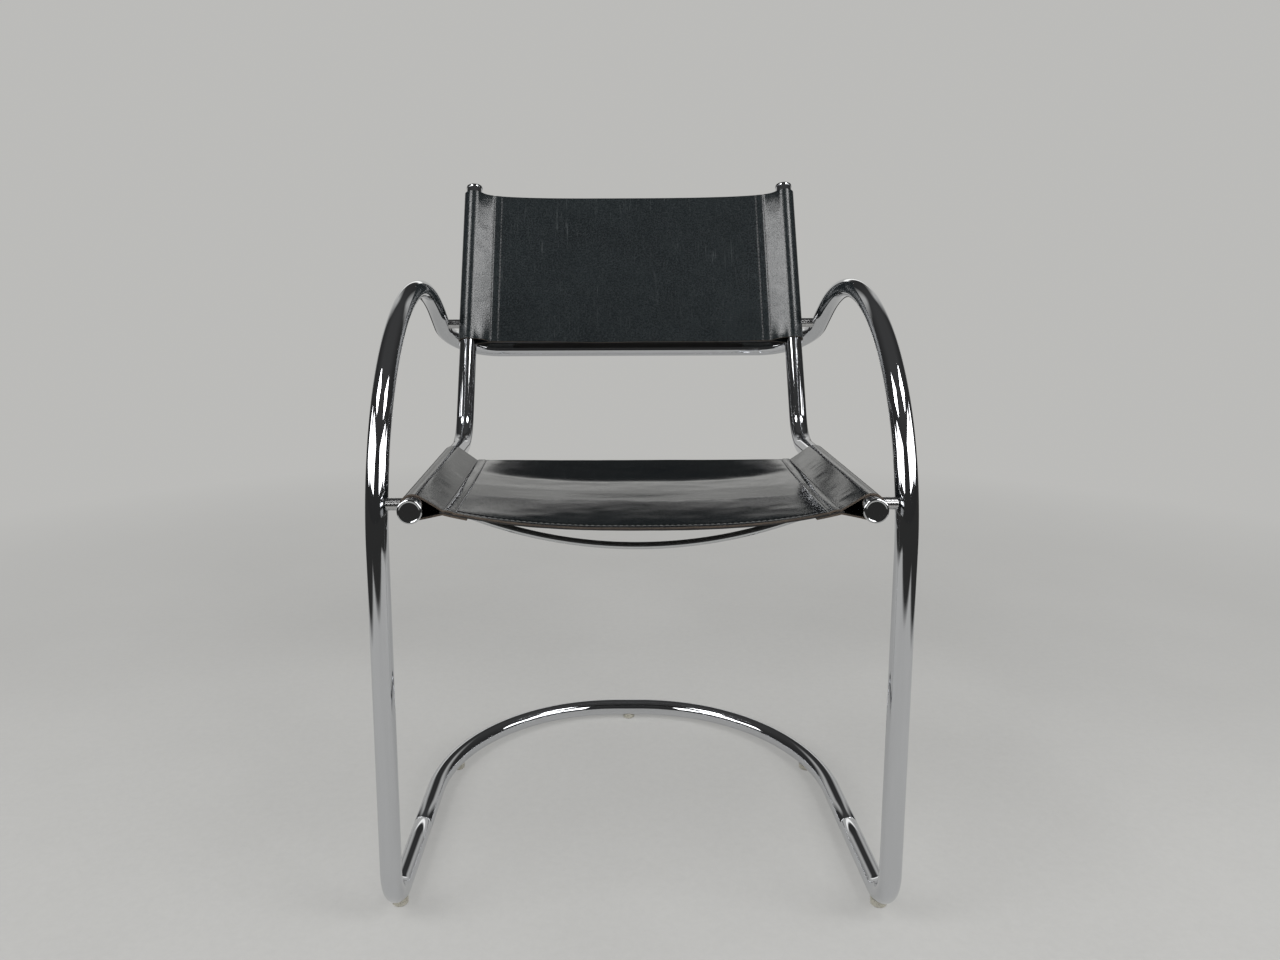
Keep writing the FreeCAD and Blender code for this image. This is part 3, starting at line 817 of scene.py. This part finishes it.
# The rough layers under the seat and behind the back
def lining(name, stations, height_of, place_at):
    edge = HALF_RAIL - LINING_END
    xs = [edge * k / 40.0 for k in range(-40, 41)]
    down = T / 2.0 + LINING_GAP + LINING_T / 2.0
    verts = []
    for s in stations:
        for x in xs:
            w = height_of(min(abs(x), edge), s) - down
            w += 0.12 * wave(x, s, 51.0, 0.09)
            verts.append(mm(place_at(x, w, s, x)))
    faces = []
    n = len(xs)
    for r in range(len(stations) - 1):
        for i in range(n - 1):
            a = r * n + i
            faces.append((a, a + 1, a + n + 1, a + n))
    return mesh_object(name, verts, faces)


def every_other(stations):
    """Every second station, with the last one always kept."""
    return stations[::2] + ([stations[-1]] if len(stations) % 2 == 0 else [])


seat_under = lining("seat_suede", every_other(seat_ys), seat_height, lambda x, w, s, x0: (x, s, w))
give(seat_under, M_SUEDE, M_SUEDE)
thicken(seat_under, LINING_T, 1)
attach(seat_under, "root")
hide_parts("seat_lining")
back_under = lining("back_suede", every_other(back_ss), back_height, back_place)
give(back_under, M_SUEDE, M_SUEDE)
thicken(back_under, LINING_T, 1)
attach(back_under, "root")
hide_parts("back_lining")


# ---------------------------------------------------------------- stitching
def stitch_rows(name, rows, length, pitch):
    """Separate stitches along rows. A row is its length and a function of distance: (point, normal)."""
    verts = []
    faces = []
    seg = 8
    for row, total in rows:
        n = int(total / pitch)
        for i in range(n):
            mid = (i + 0.5) * total / n
            a, na = row(mid - length / 2.0)
            b, nb = row(mid + length / 2.0)
            t = (b - a).normalized()
            up = ((na + nb) * 0.5).normalized()
            side = t.cross(up).normalized()
            profile = [(0.0, 0.25, -0.55), (0.08, 0.7, -0.2), (0.3, 1.0, 0.05),
                       (0.7, 1.0, 0.05), (0.92, 0.7, -0.2), (1.0, 0.25, -0.55)]
            start = len(verts)
            for f, r, lift in profile:
                c = a.lerp(b, f) + up * (lift * THREAD_R)
                for k in range(seg):
                    g = 2.0 * math.pi * k / seg
                    verts.append(mm(c + (side * math.cos(g) + up * math.sin(g)) * THREAD_R * r))
            for q in range(len(profile) - 1):
                for k in range(seg):
                    j = (k + 1) % seg
                    low = start + q * seg
                    faces.append((low + k, low + j, low + seg + j, low + seg + k))
            faces.append(tuple(start + k for k in range(seg))[::-1])
            faces.append(tuple(start + (len(profile) - 1) * seg + k for k in range(seg)))
    return mesh_object(name, verts, faces)


def seat_row(x):
    def at(d):
        y = SEAT_FRONT + ROW_IN + d
        h = seat_height(x, y) + seat_detail(x, y) + T / 2.0
        return Vector((x, y, h)), Vector((0, 0, 1))
    return at, SEAT_REAR - SEAT_FRONT - 2.0 * ROW_IN


def hem_row(y):
    def at(d):
        x = -(SEAM_2 - 3.0) + d
        h = seat_height(x, y) + seat_detail(x, y) + T / 2.0
        return Vector((x, y, h)), Vector((0, 0, 1))
    return at, 2.0 * (SEAM_2 - 3.0)


def back_row(x):
    def at(d):
        s = BACK_LOW + ROW_IN + d
        f = (s - BACK_LOW) / (BACK_HIGH - BACK_LOW)
        real = low_at(x) + (rim_at(x) - low_at(x)) * f
        w = back_height(x, s) + back_detail(x, s) + T / 2.0
        return Vector((x, 0, 0)) + UP_BASE + UP * real + OUT * w, OUT
    return at, BACK_HIGH - BACK_LOW - 2.0 * ROW_IN


row_xs = [ROW_1, ROW_2, -ROW_1, -ROW_2]
seat_thread = stitch_rows("seat_side_stitches", [seat_row(x) for x in row_xs], STITCH, PITCH)
place(seat_thread, "thread_dark", ["seat_stitching"], M_THREAD)
hem_thread = stitch_rows("seat_front_stitches", [hem_row(SEAT_FRONT + HEM_IN)], HEM_STITCH, HEM_PITCH)
place(hem_thread, "thread_dark", [], M_HEM)
back_thread = stitch_rows("back_side_stitches", [back_row(x) for x in row_xs], STITCH, PITCH)
place(back_thread, "thread_dark", ["back_stitching"], M_THREAD)

# ---------------------------------------------------------------- carried-over CAD nodes
finish_of = {
    "spacer": M_SPACER,
    "frame_screws": M_STEEL,
    "thread_inserts": M_STEEL,
    "runner_ferrules": M_SLEEVE,
    "glide": M_GLIDE,
}
for name, node in nodes.items():
    for key, mat in finish_of.items():
        if name.startswith(key):
            give(node, mat)

# ---------------------------------------------------------------- studio
PALE = (0.50, 0.498, 0.485)
FLOOR_R = 14.0


def light_path(tree, *names):
    lp = tree.nodes.new("ShaderNodeLightPath")
    total = None
    for n in names:
        total = lp.outputs[n] if total is None else math_node(tree, "MAXIMUM", total, lp.outputs[n])
    return total


floor_me = bpy.data.meshes.new("floor")
bm = bmesh.new()
bmesh.ops.create_circle(bm, cap_ends=True, radius=FLOOR_R, segments=96)
bm.to_mesh(floor_me)
bm.free()
floor = bpy.data.objects.new("floor", floor_me)
scene.collection.objects.link(floor)
m, t, out = new_material("floor_pale")
diff = t.nodes.new("ShaderNodeBsdfDiffuse")
v = coords(t)
sep = t.nodes.new("ShaderNodeSeparateXYZ")
t.links.new(v, sep.inputs[0])
dist = math_node(t, "SQRT", math_node(t, "ADD", math_node(t, "POWER", sep.outputs[0], 2.0),
                                      math_node(t, "POWER", sep.outputs[1], 2.0)))
far = ramp(t, math_node(t, "DIVIDE", dist, 10.0), [(0.05, grey(0)), (0.22, grey(1))])
speck = noise_tex(t, v, 95.0, 6.0, 0.75, 0.3)
cloudy = noise_tex(t, v, 2.2, 5.0, 0.6)
blend_f = math_node(t, "ADD", math_node(t, "MULTIPLY", speck, 0.45), math_node(t, "MULTIPLY", cloudy, 0.55))
close = ramp(t, blend_f, [(0.3, (PALE[0] * 0.93, PALE[1] * 0.93, PALE[2] * 0.93, 1)),
                          (0.7, (PALE[0] * 1.05, PALE[1] * 1.05, PALE[2] * 1.05, 1))])
even = mix_colour(t, far, close, PALE)
# In reflections the pale sheet ends beside and in front of the chair, where the dark room starts
side_edge = ramp(t, math_node(t, "DIVIDE", math_node(t, "ABSOLUTE", sep.outputs[0]), 2.0),
                 [(0.50, grey(0)), (0.58, grey(1))])
front_edge = ramp(t, math_node(t, "DIVIDE", math_node(t, "MULTIPLY", sep.outputs[1], -1.0), 2.0),
                  [(0.55, grey(0)), (0.62, grey(1))])
outside = math_node(t, "MAXIMUM", side_edge, front_edge)
dim = math_node(t, "SUBTRACT", 1.0, math_node(t, "MULTIPLY", math_node(t, "MULTIPLY", outside, 0.93),
                                              light_path(t, "Is Glossy Ray")))
tone = t.nodes.new("ShaderNodeVectorMath")
tone.operation = "SCALE"
t.links.new(even, tone.inputs[0])
t.links.new(dim, tone.inputs["Scale"])
t.links.new(tone.outputs[0], diff.inputs["Color"])
glow = t.nodes.new("ShaderNodeEmission")
t.links.new(tone.outputs[0], glow.inputs["Color"])
share = math_node(t, "ADD", math_node(t, "MULTIPLY", far, 0.45), 0.55)
seen = math_node(t, "MULTIPLY", share, light_path(t, "Is Camera Ray", "Is Glossy Ray", "Is Transmission Ray"))
mixs = t.nodes.new("ShaderNodeMixShader")
t.links.new(seen, mixs.inputs[0])
t.links.new(diff.outputs[0], mixs.inputs[1])
t.links.new(glow.outputs[0], mixs.inputs[2])
t.links.new(mixs.outputs[0], out.inputs[0])
floor_me.materials.append(m)

world = bpy.data.worlds.new("studio")
scene.world = world
world.use_nodes = True
t = world.node_tree
t.nodes.clear()
out = t.nodes.new("ShaderNodeOutputWorld")
tc = t.nodes.new("ShaderNodeTexCoord")
sep = t.nodes.new("ShaderNodeSeparateXYZ")
t.links.new(tc.outputs["Generated"], sep.inputs[0])
ahead = math_node(t, "MAXIMUM", sep.outputs[1], 0.001)
wide = math_node(t, "DIVIDE", math_node(t, "ABSOLUTE", sep.outputs[0]), ahead)
high = math_node(t, "DIVIDE", sep.outputs[2], ahead)
in_width = ramp(t, math_node(t, "DIVIDE", wide, 2.0), [(0.30, grey(1)), (0.48, grey(0))])
# Straight behind the chair the lit part of the backdrop is lower, with its brightest band near the bottom
middle = ramp(t, math_node(t, "DIVIDE", wide, 2.0), [(0.15, grey(1)), (0.26, grey(0))])
in_height = ramp(t, math_node(t, "DIVIDE", high, 2.0), [(0.42, grey(1)), (0.60, grey(0))])
above = ramp(t, high, [(0.33, grey(0)), (0.39, grey(1))])
lower = math_node(t, "SUBTRACT", 1.0, math_node(t, "MULTIPLY", above, middle))
backdrop = math_node(t, "MULTIPLY", in_width, math_node(t, "MULTIPLY", in_height, lower))
band = ramp(t, high, [(0.0, grey(0)), (0.243, grey(0)), (0.265, grey(1)), (0.335, grey(1)), (0.37, grey(0))])
lift = math_node(t, "ADD", math_node(t, "MULTIPLY", math_node(t, "MULTIPLY", band, middle), 1.5), 1.0)
dark = ramp(t, sep.outputs[2], [(0.0, grey(0.030)), (0.5, grey(0.035)), (0.9, grey(0.060))])
bg_room = t.nodes.new("ShaderNodeBackground")
t.links.new(mix_colour(t, backdrop, dark, PALE), bg_room.inputs[0])
t.links.new(lift, bg_room.inputs[1])
bg_pale = t.nodes.new("ShaderNodeBackground")
bg_pale.inputs[0].default_value = (*PALE, 1)
mixw = t.nodes.new("ShaderNodeMixShader")
t.links.new(light_path(t, "Is Camera Ray", "Is Transmission Ray"), mixw.inputs[0])
t.links.new(bg_room.outputs[0], mixw.inputs[1])
t.links.new(bg_pale.outputs[0], mixw.inputs[2])
t.links.new(mixw.outputs[0], out.inputs[0])


def softbox(name, at, target, size, energy):
    lamp = bpy.data.lights.new(name, "AREA")
    lamp.shape = "RECTANGLE"
    lamp.size = size[0]
    lamp.size_y = size[1]
    lamp.energy = energy
    o = bpy.data.objects.new(name, lamp)
    scene.collection.objects.link(o)
    o.location = at
    o.rotation_euler = (Vector(target) - Vector(at)).to_track_quat("-Z", "Y").to_euler()
    o.visible_camera = False
    return o


for side, word in ((1.0, "right"), (-1.0, "left")):
    softbox("key_" + word, (side * 1.3, -1.25, 1.19), (0, 0, 0.5), (1.5, 0.82), 18.0)
    softbox("upper_" + word, (side * 1.38, -0.92, 2.45), (0, 0.2, 0.65), (0.9, 0.7), 18.0)
    softbox("side_" + word, (side * 1.35, -0.30, 0.78), (0, -0.2, 0.5), (0.6, 0.4), 3.3)
fill = softbox("top_fill", (0.0, 0.0, 2.9), (0, 0.01, 0.3), (3.0, 3.0), 10.0)
fill.visible_glossy = False

# ---------------------------------------------------------------- camera
# The photo's own view: its size and optical centre in pixels, the place in mm and the angles in radians
PHOTO_W = 1280.0
PHOTO_H = 960.0
FOCAL_PX = 947.208
CENTRE_PX = (595.389, 417.468)
CAMERA_AT = (-34.135, -876.965, 662.952)
SENSOR = 36.0
yaw = 0.0103
pitch = 0.1561
roll = -0.0046
fwd = Vector((-math.sin(yaw) * math.cos(pitch), math.cos(yaw) * math.cos(pitch), -math.sin(pitch)))
right = Vector((math.cos(yaw), math.sin(yaw), 0.0))
up = right.cross(fwd)
r2 = right * math.cos(roll) + up * math.sin(roll)
u2 = up * math.cos(roll) - right * math.sin(roll)
cam_data = bpy.data.cameras.new("photo_camera")
cam_data.sensor_fit = "HORIZONTAL"
cam_data.sensor_width = SENSOR
cam_data.lens = FOCAL_PX * SENSOR / PHOTO_W
cam_data.shift_x = (PHOTO_W / 2.0 - CENTRE_PX[0]) / PHOTO_W
cam_data.shift_y = (CENTRE_PX[1] - PHOTO_H / 2.0) / PHOTO_W
cam = bpy.data.objects.new("photo_camera", cam_data)
scene.collection.objects.link(cam)
rot = Matrix((r2, u2, -fwd)).transposed().to_4x4()
cam.matrix_world = Matrix.Translation(mm(CAMERA_AT)) @ rot
scene.camera = cam

scene.view_settings.view_transform = "Standard"
